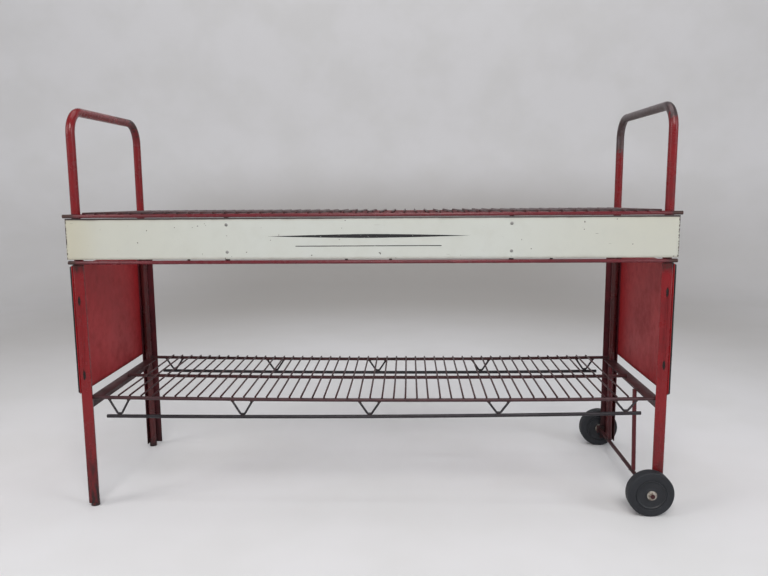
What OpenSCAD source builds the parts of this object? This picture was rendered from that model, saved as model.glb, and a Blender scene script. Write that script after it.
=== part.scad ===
// Newspaper rack: two inverted-U tube hoops stand inside four formed leg angles. They carry a
// wire top shelf with a sheet-metal sign, a wire lower shelf with a truss under each long edge,
// and two side panels. One end rolls on a pair of wheels and the other stands on its tube ends.
// Millimetres. X runs along the rack, the front faces -Y, and Z = 0 is the floor.

/* [Overall] */
// Overall height to the top of the end hoops
rack_h = 890; // [800:1:1000]
// Width over the outer faces of the leg angles
frame_w = 1288; // [1100:1:1400]
// Distance between the centrelines of the front and rear tubes
tube_pitch = 375; // [300:1:450]

/* [End hoops and legs] */
// Outside diameter of the hoop tube
tube_d = 19; // [16:0.5:22]
// Wall thickness of the hoop tube
tube_wall = 1.5; // [1:0.1:2.5]
// Centreline radius of the two bends in a hoop
bend_r = 50; // [35:1:90]
// Width of the flanges of the leg angles
leg_w = 25.4; // [22:0.1:32]
// Width of the flange along the back of the rear leg angles
rear_leg_w = 33; // [26:0.5:33]
// Sheet thickness of the leg angles
leg_t = 2; // [1.5:0.1:3]
// Radius of the rolled outer corner of the leg angles
leg_corner_r = 5; // [2:0.5:8]
// Height of the top ends of the leg angles
leg_top = 553; // [500:1:620]
// How far a tube foot stands out below its leg angle
foot_out = 8; // [2:1:20]
// Height of the lower ends of the two legs at the wheels
wheel_leg_bottom = 24; // [20:1:45]
// Heights of the plug-weld slots in the left front leg
left_slot_z = [474, 307]; // [280:1:540]
// Heights of the plug-weld slots in the right front leg
right_slot_z = [490, 332]; // [280:1:540]
// Width and height of a plug-weld slot
slot_size = [3, 16]; // [2:0.2:16]

/* [Side panels and cross-members] */
// Height of the upper edge of the side panels
panel_top = 551; // [500:1:600]
// Height of the lower edge of the side panels
panel_bottom = 265; // [258:1:350]
// Sheet thickness of the side panels
panel_t = 1.2; // [0.8:0.1:2]
// Flange width of the lower cross-members
cross_w = 28; // [20:0.1:32]
// Sheet thickness of the lower cross-members
cross_t = 2.5; // [1.5:0.1:4]
// Distance of a cross-member's outer face from the outer face of the legs
cross_inset = 6.5; // [4:0.5:10]

/* [Shelves] */
// Diameter of the long rods
rod_d = 8; // [6:0.5:10]
// Diameter of the shelf wires
wire_d = 4; // [3:0.5:6]
// Pitch of the wires in the top shelf
wire_pitch = 25.4; // [20:0.2:40]
// Pitch of the wires in the lower shelf
low_wire_pitch = 25.6; // [20:0.2:26]
// Number of wires in the top shelf
top_wires = 49; // [3:2:49]
// Number of wires in the lower shelf
low_wires = 45; // [3:2:45]
// Height of the middle rod of the top shelf
top_rod_z = 653; // [653:0.1:700]
// How much higher the front rod of the top shelf is than the rear one
top_shelf_slope = 9.6; // [9.6:0.2:20]
// Height of the rods of the lower shelf at the two ends of the rack
low_rod_z = 254; // [240:1:257]
// How far the lower shelf and its trusses sag at the middle of the rack
shelf_sag = 5; // [0.5:0.5:8]
// How far a shelf wire runs past the rods at its two ends
wire_over = 3; // [0:0.5:8]

/* [Trusses] */
// Height of the truss rods, left straight, before the sag is taken off
truss_z = 216.5; // [190:0.5:227]
// Length of a truss rod
truss_len = 1184; // [1160:2:1200]
// Rise of the front truss rod from the middle to its right-hand end
front_truss_skew = 5.5; // [0:0.5:8]
// Number of bent wire V's in each truss
vee_count = 5; // [1:2:5]
// Distance between the middles of two V's
vee_pitch = 280; // [100:1:285]
// Sideways shift of each V in the front truss, as bent and welded by hand
front_vee_shift = [-3, -5.5, -2, 2.5, -1]; // [-8:0.5:8]
// Diameter of the wire of a V
vee_wire_d = 4.8; // [3:0.1:6]
// Distance between the two upper ends of a V
vee_top_w = 43; // [20:1:60]
// Length of the flat foot of a V
vee_foot_w = 9; // [6:1:20]

/* [Sign] */
// Width of the sign
sign_w = 1300; // [1000:2:1304]
// Height of the sign
sign_h = 88.4; // [60:0.2:88.4]
// Sheet thickness of the sign
sign_t = 1; // [0.6:0.1:1.5]
// Height of the rod below the sign
sign_rod_z = 558; // [558:1:561]
// How far the top rods run past each end of the sign
top_rod_over = 5; // [0:1:12]
// Distance between the two straps behind the sign
strap_pitch = 604; // [400:2:900]
// Width and thickness of a strap
strap_size = [10, 3]; // [2:0.5:16]
// Distances of the small tabs under the sign from its middle
tab_x = [47, 386]; // [20:1:600]
// Diameter of a rivet head
rivet_head_d = 7; // [5:0.5:9]

/* [Wheels] */
// Diameter of the wheels
wheel_d = 100; // [90:1:110]
// Width of a wheel's hub
hub_w = 28; // [20:1:32]
// Diameter of the axle
axle_d = 9.5; // [8:0.1:11]
// Distance from the inner edges of the legs to the axle
axle_gap = 4; // [0:0.5:8]
// Diameter of the two braces that hold the axle
brace_d = 9.5; // [6:0.1:11]
// Distance between the two braces
brace_pitch = 200; // [120:5:300]

/* [Hidden] */
$fn = 48;

// Air left between two pieces that only touch
touch = 0.05;
// Air left at each end of a turning wheel
end_play = 0.3;

tube_r = tube_d / 2;
rod_r = rod_d / 2;
wire_r = wire_d / 2;
vee_r = vee_wire_d / 2;
wheel_r = wheel_d / 2;
axle_r = axle_d / 2;

tube_x = frame_w / 2 - leg_t - touch - tube_r;
tube_y = tube_pitch / 2;
leg_face_y = tube_y + tube_r + touch + leg_t;
hoop_z = rack_h - tube_r;
// Length of a straight member that butts between the front and rear tubes
between_tubes = tube_pitch - tube_d - 2 * touch;

// Rods of the sign frame and the top shelf lie against the outer faces of the tubes
outer_rod_y = tube_y + tube_r + touch + rod_r;
top_rod_len = sign_w + 2 * top_rod_over;
front_top_z = top_rod_z + top_shelf_slope / 2;
rear_top_z = top_rod_z - top_shelf_slope / 2;
top_tilt = atan(top_shelf_slope / (2 * outer_rod_y));
sign_z = sign_rod_z + rod_r + 2.75 + sign_h / 2;
sign_back_y = outer_rod_y + strap_size[1] / 2;
rivet_z = 29;

cross_x = frame_w / 2 - cross_inset;

// The rods of the lower shelf bow down along arcs about one far centre, bow_z above the floor.
// Truss rods and V's keep their distance from them.
bow_half = tube_x - tube_r - touch;
bow_r = (bow_half * bow_half + shelf_sag * shelf_sag) / (2 * shelf_sag);
bow_z = low_rod_z - shelf_sag + bow_r;
cross_inner_x = cross_x - cross_w;
cross_top = bow_z - sqrt(bow_r * bow_r - cross_inner_x * cross_inner_x) - rod_r - touch;

// The axle passes just inside the two leg angles at the wheels, where a plate on each holds it
axle_x = frame_w / 2 - leg_w - axle_gap - axle_r;
washer_t = 2;
washer_d = 22;
hub_in_y = leg_face_y + touch + washer_t + end_play;
hub_out_y = hub_in_y + hub_w;
outer_washer_t = 1.5;
nut_y = hub_out_y + end_play + outer_washer_t + touch;
nut_h = 4.5;
axle_len = 2 * (nut_y + nut_h + 1);
plate_t = 3;
plate_size = [20, 20];
// Distance of a plate's middle from the axle, towards the leg
plate_shift = 2;

tyre_in_r = 0.66 * wheel_r;
bush_r = 7;

// Puts the middle of the whole rack's box over the origin
rack_x = (top_rod_len / 2 - axle_x - wheel_r) / 2;

RED = "firebrick";
BROWN = [0.27, 0.19, 0.18];
DARK = [0.16, 0.14, 0.14];

module in_rack() {
    translate([rack_x, 0, 0]) children();
}

// side -1 is the left end, side 1 the right end
module at_end(side) {
    in_rack() mirror([side < 0 ? 1 : 0, 0, 0]) children();
}

// side -1 is the front wheel or leg, side 1 the rear one
module at_side(side) {
    mirror([0, side < 0 ? 1 : 0, 0]) children();
}

module ring(r_out, r_in) {
    difference() {
        circle(r_out);
        circle(r_in);
    }
}

// A round bar of diameter d from point a to point b
module bar(a, b, d) {
    v = b - a;
    translate(a)
        rotate([0, acos(v[2] / norm(v)), atan2(v[1], v[0])])
            cylinder(h = norm(v), d = d);
}

// A rod along X, centred on the rack
module long_rod(length, y, z, d) {
    in_rack() translate([-length / 2, y, z]) rotate([0, 90, 0]) cylinder(h = length, d = d);
}

// A rod along X that bows down like the lower shelf, drop below the shelf rods
module bowed_rod(length, y, drop, d) {
    r = bow_r + drop;
    half = asin(length / 2 / r);
    translate([0, y, bow_z])
        rotate([90, 0, 0])
            rotate([0, 0, -90 - half])
                rotate_extrude(angle = 2 * half, $fn = 3600) translate([r, 0]) circle(d / 2, $fn = 32);
}

// Moves something modelled at the middle of the lower shelf to x along the bow
module on_bow(x) {
    translate([0, 0, bow_z]) rotate([0, -asin(x / bow_r), 0]) translate([0, 0, -bow_z]) children();
}

module tube_ring() {
    ring(tube_r, tube_r - tube_wall);
}

// One inverted-U hoop; foot_z is the height of its two lower ends
module hoop(foot_z) {
    for (side = [-1, 1]) {
        translate([tube_x, side * tube_y, foot_z])
            linear_extrude(hoop_z - bend_r - foot_z) tube_ring();
        translate([tube_x, side * (tube_y - bend_r), hoop_z - bend_r])
            rotate([90, 0, side * 90])
                rotate_extrude(angle = 90, $fn = 96) translate([bend_r, 0]) tube_ring();
    }
    translate([tube_x, tube_y - bend_r, hoop_z])
        rotate([90, 0, 0])
            linear_extrude(tube_pitch - 2 * bend_r) tube_ring();
}

// Section of a leg angle with its rounded outer corner at the origin, flanges along +X and +Y
module leg_section(flange) {
    inner_r = leg_corner_r - leg_t;
    translate([leg_corner_r, 0]) square([flange - leg_corner_r, leg_t]);
    translate([0, leg_corner_r]) square([leg_t, leg_w - leg_corner_r]);
    intersection() {
        square(leg_corner_r);
        translate([leg_corner_r, leg_corner_r]) ring(leg_corner_r, inner_r);
    }
}

module slot_cut(z) {
    w = slot_size[0];
    straight = slot_size[1] - w;
    translate([tube_x, -leg_face_y + leg_t + 1, z]) rotate([90, 0, 0]) {
        translate([-w / 2, -straight / 2, 0]) cube([w, straight, leg_t + 2]);
        for (end = [-1, 1])
            translate([0, end * straight / 2, 0]) cylinder(h = leg_t + 2, d = w, $fn = 24);
    }
}

// A leg angle, its corner outwards, with a plug-weld slot at each height in slots
module leg_angle(side, bottom, slots) {
    difference() {
        at_side(-side)
            translate([frame_w / 2, -leg_face_y, bottom])
                mirror([1, 0, 0]) linear_extrude(leg_top - bottom) leg_section(side < 0 ? leg_w : rear_leg_w);
        for (z = slots) slot_cut(z);
    }
}

module side_panel() {
    r = 4;
    depth = 2 * leg_face_y;
    height = panel_top - panel_bottom;
    translate([frame_w / 2, 0, panel_bottom + height / 2])
        rotate([90, 0, 90])
            linear_extrude(panel_t) union() {
                square([depth - 2 * r, height], center = true);
                square([depth, height - 2 * r], center = true);
                for (sx = [-1, 1], sz = [-1, 1])
                    translate([sx * (depth / 2 - r), sz * (height / 2 - r)]) circle(r);
            }
}

// Angle between the two tubes: one flange hangs outside and the upper one points inwards
module cross_member() {
    translate([cross_x, between_tubes / 2, cross_top])
        rotate([90, 0, 0])
            linear_extrude(between_tubes) {
                translate([-cross_t, -cross_w]) square([cross_t, cross_w]);
                translate([-cross_w, -cross_t]) square([cross_w, cross_t]);
            }
}

module top_rail() {
    half = between_tubes / 2 - 0.15;
    rise = half * tan(top_tilt);
    bar([tube_x, -half, top_rod_z + rise], [tube_x, half, top_rod_z - rise], rod_d);
}

// A wire from front to rear over rods whose centres are at height 0
module shelf_wire(length) {
    translate([0, length / 2, rod_r + touch + wire_r])
        rotate([90, 0, 0]) cylinder(h = length, d = wire_d, $fn = 24);
}

module truss_rod(side, skew) {
    in_rack()
        translate([0, 0, truss_z - shelf_sag])
            rotate([0, -asin(2 * skew / truss_len), 0])
                translate([0, 0, shelf_sag - truss_z])
                    bowed_rod(truss_len, side * tube_y, low_rod_z - truss_z, rod_d);
}

// Half of one bent wire: half the flat foot and a leg up to the shelf rod
module half_vee(foot_z, top_z) {
    run = (vee_top_w - vee_foot_w) / 2;
    slope = atan2(top_z - foot_z, run);
    translate([-0.5, 0, foot_z]) rotate([0, 90, 0]) cylinder(h = vee_foot_w / 2 + 0.5, r = vee_r, $fn = 24);
    translate([vee_foot_w / 2, 0, foot_z]) {
        rotate([0, 90 - slope, 0]) cylinder(h = (top_z - foot_z) / sin(slope), r = vee_r, $fn = 24);
        sphere(r = vee_r + touch, $fn = 24);
    }
}

// One bent wire at the middle of the rack, between the shelf rod and a truss rod at rod_z
module vee(rod_z) {
    foot_z = rod_z + rod_r + vee_r + 3 * touch;
    top_z = low_rod_z - shelf_sag - rod_r - vee_r * 0.76;
    for (side = [0, 1])
        mirror([side, 0, 0]) half_vee(foot_z, top_z);
}

module truss_vees(side, skew, shift) {
    in_rack()
        for (i = [0:vee_count - 1]) {
            x = (i - (vee_count - 1) / 2) * vee_pitch + (i < len(shift) ? shift[i] : 0);
            translate([0, side * tube_y, 0])
                on_bow(x) vee(truss_z - shelf_sag + skew * (2 * x / truss_len));
        }
}

// A straight brace from the inner edge of the right cross-member down to the axle
module brace(side) {
    y = side * brace_pitch / 2;
    top_x = cross_x - cross_w - brace_d / 2 - 2 * touch;
    in_rack() bar([axle_x, y, wheel_r + axle_r + 3 * touch], [top_x, y, cross_top - touch], brace_d);
}

// Turns a rotate_extrude profile (x = radius, y = distance out from the rack's middle)
// onto the axle at the front (-1) or rear (1)
module on_axle(side) {
    in_rack() translate([axle_x, 0, wheel_r]) at_side(side) rotate([-90, 0, 0]) children();
}

module washer_at(side, y, t, d) {
    on_axle(side) translate([0, 0, y]) linear_extrude(t) ring(d / 2, axle_r + touch);
}

module tyre_section() {
    r = 4;
    w = hub_w - 2;
    h = wheel_r - tyre_in_r;
    y0 = hub_in_y + 1;
    translate([tyre_in_r, y0]) {
        square([h - r, w]);
        translate([0, r]) square([h, w - 2 * r]);
        for (y = [r, w - r]) translate([h - r, y]) circle(r);
    }
}

module tyre(side) {
    on_axle(side) rotate_extrude($fn = 96) tyre_section();
}

// Moulded centre: a hub, a web set in a little and a rim that carries the tyre
module centre_section() {
    bore = bush_r + 0.02;
    hub_r = 13;
    rim_in = tyre_in_r - 4;
    web = 22;
    translate([bore, hub_in_y]) square([hub_r - bore, hub_w]);
    translate([hub_r - 1, hub_in_y + (hub_w - web) / 2]) square([rim_in - hub_r + 2, web]);
    translate([rim_in, hub_in_y + 1]) square([tyre_in_r - 0.02 - rim_in, hub_w - 2]);
}

module wheel_centre(side) {
    on_axle(side) rotate_extrude($fn = 96) centre_section();
}

module wheel_bush(side) {
    on_axle(side) translate([0, 0, hub_in_y]) linear_extrude(hub_w) ring(bush_r, axle_r + 0.07);
}

// Steel plate on the inside of a leg's front or rear flange; the axle passes through it
module axle_plate(side) {
    y = leg_face_y - leg_t - touch;
    low_y = side > 0 ? y - plate_t : -y;
    in_rack()
        difference() {
            translate([axle_x + plate_shift - plate_size[0] / 2, low_y, wheel_r - plate_size[1] / 2])
                cube([plate_size[0], plate_t, plate_size[1]]);
            translate([axle_x, side * y, wheel_r])
                rotate([90, 0, 0]) cylinder(h = 4 * plate_t, r = axle_r + touch, center = true);
        }
}

module left_end_hoop() {
    color(RED) at_end(-1) hoop(0);
}

module right_end_hoop() {
    color(RED) at_end(1) hoop(wheel_leg_bottom);
}

module left_front_leg_angle() {
    color(RED) at_end(-1) leg_angle(-1, foot_out, left_slot_z);
}

module left_rear_leg_angle() {
    color(RED) at_end(-1) leg_angle(1, foot_out, []);
}

module right_front_leg_angle() {
    color(RED) at_end(1) leg_angle(-1, wheel_leg_bottom, right_slot_z);
}

// The axle passes through the edge of the wide rear flange
module axle_notch() {
    on_axle(1) translate([0, 0, leg_face_y - leg_t - 1]) cylinder(h = leg_t + 2, r = axle_r + 0.3);
}

module right_rear_leg_angle() {
    color(RED)
        difference() {
            at_end(1) leg_angle(1, wheel_leg_bottom, []);
            axle_notch();
        }
}

// Weld metal that fills a slot, set back a little from the face of the leg
module plug_weld(z) {
    w = slot_size[0] - 2 * touch;
    straight = slot_size[1] - slot_size[0];
    h = leg_t - 0.8;
    translate([tube_x, -leg_face_y + leg_t, z]) rotate([90, 0, 0]) {
        translate([-w / 2, -straight / 2, 0]) cube([w, straight, h]);
        for (end = [-1, 1])
            translate([0, end * straight / 2, 0]) cylinder(h = h, d = w, $fn = 24);
    }
}

module leg_plug_welds() {
    color(DARK) {
        for (z = left_slot_z) at_end(-1) plug_weld(z);
        for (z = right_slot_z) at_end(1) plug_weld(z);
    }
}

module left_side_panel() {
    color(RED) at_end(-1) side_panel();
}

module right_side_panel() {
    color(RED) at_end(1) side_panel();
}

module left_cross_member() {
    color(BROWN) at_end(-1) cross_member();
}

module right_cross_member() {
    color(BROWN) at_end(1) cross_member();
}

module left_top_rail() {
    color(BROWN) at_end(-1) top_rail();
}

module right_top_rail() {
    color(BROWN) at_end(1) top_rail();
}

module front_top_rod() {
    color(BROWN) long_rod(top_rod_len, -outer_rod_y, front_top_z, rod_d);
}

module middle_top_rod() {
    color(BROWN) long_rod(2 * (tube_x - rod_r - touch), 0, top_rod_z, rod_d);
}

module rear_top_rod() {
    color(BROWN) long_rod(top_rod_len, outer_rod_y, rear_top_z, rod_d);
}

module top_shelf_wires() {
    color(BROWN)
        for (i = [0:top_wires - 1])
            in_rack()
                translate([(i - (top_wires - 1) / 2) * wire_pitch, 0, top_rod_z])
                    rotate([-top_tilt, 0, 0]) shelf_wire(2 * (outer_rod_y + wire_over));
}

module sign_bottom_rod() {
    color(RED) long_rod(sign_w - 2, -outer_rod_y, sign_rod_z, rod_d);
}

module rear_bottom_rod() {
    color(RED) long_rod(sign_w - 2, outer_rod_y, sign_rod_z, rod_d);
}

module sign_panel() {
    color("antiquewhite")
        difference() {
            in_rack()
                translate([-sign_w / 2, -sign_back_y - sign_t, sign_z - sign_h / 2])
                    cube([sign_w, sign_t, sign_h]);
            rivet_holes();
        }
}

module rivet_holes() {
    for (sx = [-1, 1], sz = [-1, 1])
        in_rack()
            translate([sx * strap_pitch / 2, -outer_rod_y, sign_z + sz * rivet_z])
                rotate([90, 0, 0]) cylinder(h = 12, r = 2 + touch, center = true);
}

// Flat bar between the two front rods, behind the sign
module sign_strap(side) {
    low = sign_rod_z + rod_r + touch;
    high = front_top_z - rod_r - touch;
    difference() {
        in_rack()
            translate([side * strap_pitch / 2 - strap_size[0] / 2, -outer_rod_y - strap_size[1] / 2, low])
                cube([strap_size[0], strap_size[1], high - low]);
        rivet_holes();
    }
}

module left_sign_strap() {
    color(RED) sign_strap(-1);
}

module right_sign_strap() {
    color(RED) sign_strap(1);
}

// Rivets with a low domed head in front and a flat head behind the strap
module sign_rivets() {
    head_h = 1.3;
    head_r = rivet_head_d / 2;
    dome_r = (head_r * head_r + head_h * head_h) / (2 * head_h);
    grip = sign_t + strap_size[1];
    color("gray")
        for (sx = [-1, 1], sz = [-1, 1])
            in_rack()
                translate([sx * strap_pitch / 2, -sign_back_y - sign_t - touch, sign_z + sz * rivet_z])
                    rotate([90, 0, 0]) {
                        intersection() {
                            cylinder(h = head_h, r = head_r);
                            translate([0, 0, head_h - dome_r]) sphere(dome_r);
                        }
                        translate([0, 0, -grip - 2 * touch]) cylinder(h = grip + 2 * touch, r = 2);
                        translate([0, 0, -grip - 1 - 2 * touch]) cylinder(h = 1, r = 3);
                    }
}

// Short tabs that tie the lower edge of the sign to the rod under it
module sign_tabs() {
    low = sign_rod_z + rod_r + touch;
    color(DARK)
        for (side = [-1, 1], x = tab_x)
            in_rack()
                translate([side * x - 3, -sign_back_y + touch, low])
                    cube([6, 1.5, 10]);
}

module front_shelf_rod() {
    color(BROWN) in_rack() bowed_rod(2 * bow_half, -tube_y, 0, rod_d);
}

module middle_shelf_rod() {
    color(BROWN) in_rack() bowed_rod(2 * (cross_inner_x + 6), 0, 0, rod_d);
}

module rear_shelf_rod() {
    color(BROWN) in_rack() bowed_rod(2 * bow_half, tube_y, 0, rod_d);
}

module lower_shelf_wires() {
    color(BROWN)
        for (i = [0:low_wires - 1])
            in_rack()
                on_bow((i - (low_wires - 1) / 2) * low_wire_pitch)
                    translate([0, 0, low_rod_z - shelf_sag]) shelf_wire(tube_pitch + 2 * wire_over);
}

module front_truss_rod() {
    color(DARK) truss_rod(-1, front_truss_skew);
}

module rear_truss_rod() {
    color(DARK) truss_rod(1, 0);
}

module front_truss_vees() {
    color(DARK) truss_vees(-1, front_truss_skew, front_vee_shift);
}

module rear_truss_vees() {
    color(DARK) truss_vees(1, 0, []);
}

module axle() {
    color("dimgray")
        on_axle(1) translate([0, 0, -axle_len / 2]) cylinder(h = axle_len, d = axle_d);
}

module front_brace() {
    color(RED) brace(-1);
}

module rear_brace() {
    color(RED) brace(1);
}

module front_axle_plate() {
    color(RED) axle_plate(-1);
}

module rear_axle_plate() {
    color(RED) axle_plate(1);
}

module front_tyre() {
    color("black") tyre(-1);
}

module rear_tyre() {
    color("black") tyre(1);
}

module front_wheel_centre() {
    color(DARK) wheel_centre(-1);
}

module rear_wheel_centre() {
    color(DARK) wheel_centre(1);
}

module front_wheel_bush() {
    color("silver") wheel_bush(-1);
}

module rear_wheel_bush() {
    color("silver") wheel_bush(1);
}

module inner_washers() {
    color("silver")
        for (side = [-1, 1]) washer_at(side, leg_face_y + touch, washer_t, washer_d);
}

module outer_washers() {
    color("silver")
        for (side = [-1, 1]) washer_at(side, hub_out_y + end_play, outer_washer_t, washer_d - 1);
}

// Flanged push-on nuts that keep the wheels on the axle
module push_nuts() {
    color("silver")
        for (side = [-1, 1]) {
            washer_at(side, nut_y, 1.2, 18);
            washer_at(side, nut_y, nut_h, 13.5);
        }
}

left_end_hoop();
right_end_hoop();
left_front_leg_angle();
left_rear_leg_angle();
right_front_leg_angle();
right_rear_leg_angle();
leg_plug_welds();
left_side_panel();
right_side_panel();
left_cross_member();
right_cross_member();
left_top_rail();
right_top_rail();
front_top_rod();
middle_top_rod();
rear_top_rod();
top_shelf_wires();
sign_bottom_rod();
rear_bottom_rod();
sign_panel();
left_sign_strap();
right_sign_strap();
sign_rivets();
sign_tabs();
front_shelf_rod();
middle_shelf_rod();
rear_shelf_rod();
lower_shelf_wires();
front_truss_rod();
rear_truss_rod();
front_truss_vees();
rear_truss_vees();
axle();
front_brace();
rear_brace();
front_axle_plate();
rear_axle_plate();
front_tyre();
rear_tyre();
front_wheel_centre();
rear_wheel_centre();
front_wheel_bush();
rear_wheel_bush();
inner_washers();
outer_washers();
push_nuts();
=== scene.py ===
import functools
import math
import random

import bmesh
import bpy
from mathutils import Matrix, Vector, noise


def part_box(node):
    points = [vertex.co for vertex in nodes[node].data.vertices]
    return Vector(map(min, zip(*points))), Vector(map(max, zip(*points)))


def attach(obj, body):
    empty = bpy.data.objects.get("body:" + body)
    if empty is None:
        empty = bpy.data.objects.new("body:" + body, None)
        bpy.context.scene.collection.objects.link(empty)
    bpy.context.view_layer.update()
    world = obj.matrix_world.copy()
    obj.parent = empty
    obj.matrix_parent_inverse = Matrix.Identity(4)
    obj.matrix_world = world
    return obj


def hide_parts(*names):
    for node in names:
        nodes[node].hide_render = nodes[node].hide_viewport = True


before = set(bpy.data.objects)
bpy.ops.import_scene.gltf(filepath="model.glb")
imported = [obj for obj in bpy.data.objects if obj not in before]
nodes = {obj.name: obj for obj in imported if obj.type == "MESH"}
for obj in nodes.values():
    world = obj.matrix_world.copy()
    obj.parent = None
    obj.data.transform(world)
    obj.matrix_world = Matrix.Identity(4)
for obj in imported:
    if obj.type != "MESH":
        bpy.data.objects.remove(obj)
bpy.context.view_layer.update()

MM = 0.001


# ---------------------------------------------------------------- places taken from the frame

@functools.cache
def corners(node):
    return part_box(node)


def middle(node):
    """Centre of a CAD node's box."""
    low, high = corners(node)
    return (low + high) / 2


def size(node):
    low, high = corners(node)
    return high - low


ROD_R = size("front_shelf_rod").y / 2
TUBE_R = size("left_end_hoop").x / 2
HOOP_X = {"left": middle("left_end_hoop").x, "right": middle("right_end_hoop").x}
TUBE_Y = size("left_end_hoop").y / 2 - TUBE_R
LEG_TOP = corners("left_front_leg_angle")[1].z
RACK_X = (HOOP_X["left"] + HOOP_X["right"]) / 2
AXLE = middle("axle")
WHEEL_R = size("front_tyre").z / 2
SIDES = {"front": -1, "rear": 1}

# Sizes that the boxes don't give
WIRE_R = 2.0 * MM
TOP_WIRES, TOP_PITCH = 49, 25.4 * MM
LOW_WIRES, LOW_PITCH = 45, 25.6 * MM
VEE_PITCH, VEE_WIRE_R, VEE_TOP_W, VEE_FOOT_W = 280 * MM, 2.4 * MM, 43 * MM, 9 * MM
VEE_SHIFT = {"front": (-3, -5.5, -2, 2.5, -1), "rear": (0, 0, 0, 0, 0)}
PLUG_WELD_Z = {"left": (474 * MM, 307 * MM), "right": (490 * MM, 332 * MM)}
RIVET_R = 3.5 * MM
TRUSS_DROP = 37.5 * MM
TRUSS_SKEW = {"front": 5.5 * MM, "rear": 0.0}

# The lower shelf sags: its rods hang in a shallow curve between these two ends
BOW_HALF = size("front_shelf_rod").x / 2
BOW_SAG = size("front_shelf_rod").z - 2 * ROD_R
BOW_END_Z = corners("front_shelf_rod")[1].z - ROD_R


def shelf_z(x):
    """Height of a lower shelf rod's centre, x from the middle of the rack."""
    return BOW_END_Z - BOW_SAG * (1 - (x / BOW_HALF) ** 2)


def top_z(y):
    """Height of the sloping plane through the centres of the top shelf's rods."""
    front, rear = middle("front_top_rod"), middle("rear_top_rod")
    return front.z + (rear.z - front.z) * (y - front.y) / (rear.y - front.y)


# ---------------------------------------------------------------- camera, stage and light

SENSOR_W = 36.0
LENS = 33.46
CAMERA_AT = Vector((0.0830, -1.7114, 0.721))
CAMERA_YAW = -0.0350
CAMERA_PITCH = 0.1444
CAMERA_ROLL = -0.0077


def make_camera():
    """A level camera turned by yaw, tipped down by pitch and rolled about its own axis."""
    forward = Vector((
        math.sin(CAMERA_YAW) * math.cos(CAMERA_PITCH),
        math.cos(CAMERA_YAW) * math.cos(CAMERA_PITCH),
        -math.sin(CAMERA_PITCH),
    ))
    right = Vector((math.cos(CAMERA_YAW), -math.sin(CAMERA_YAW), 0))
    up = right.cross(forward)
    across = right * math.cos(CAMERA_ROLL) + up * math.sin(CAMERA_ROLL)
    above = -right * math.sin(CAMERA_ROLL) + up * math.cos(CAMERA_ROLL)
    turn = Matrix((across, above, -forward)).transposed()
    data = bpy.data.cameras.new("camera")
    data.sensor_width = SENSOR_W
    data.lens = LENS
    data.clip_start = 0.05
    data.clip_end = 60
    camera = bpy.data.objects.new("camera", data)
    bpy.context.scene.collection.objects.link(camera)
    camera.matrix_world = Matrix.Translation(CAMERA_AT) @ turn.to_4x4()
    bpy.context.scene.camera = camera


def area_light(name, at, target, width, height, power, colour):
    data = bpy.data.lights.new(name, "AREA")
    data.shape = "RECTANGLE"
    data.size = width
    data.size_y = height
    data.energy = power
    data.color = colour
    light = bpy.data.objects.new(name, data)
    bpy.context.scene.collection.objects.link(light)
    light.location = at
    light.rotation_euler = (Vector(target) - Vector(at)).to_track_quat("-Z", "Y").to_euler()


def make_lights():
    target = (0, 0, 0.4)
    area_light("front_above", (0.2, -3.0, 2.9), target, 2.2, 1.4, 81, (1.0, 0.98, 0.955))
    area_light("window_left", (-3.3, -1.7, 1.9), target, 1.4, 1.6, 30, (1.0, 0.98, 0.955))
    area_light("window_right", (3.3, -1.9, 1.9), target, 1.4, 1.6, 30, (0.93, 0.965, 1.0))
    area_light("ceiling", (0, 0.1, 3.5), target, 3.0, 2.2, 30, (1.0, 0.99, 0.98))
    area_light("wall_wash", (0, 2.4, 4.0), (0, 5.0, 1.6), 4.0, 0.6, 34, (1.0, 0.985, 0.97))
    world = bpy.data.worlds.new("world")
    world.use_nodes = True
    background = world.node_tree.nodes["Background"]
    background.inputs["Color"].default_value = (0.93, 0.95, 1.0, 1.0)
    background.inputs["Strength"].default_value = 0.14
    bpy.context.scene.world = world
    bpy.context.scene.view_settings.view_transform = "Standard"


# ---------------------------------------------------------------- node materials

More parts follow.
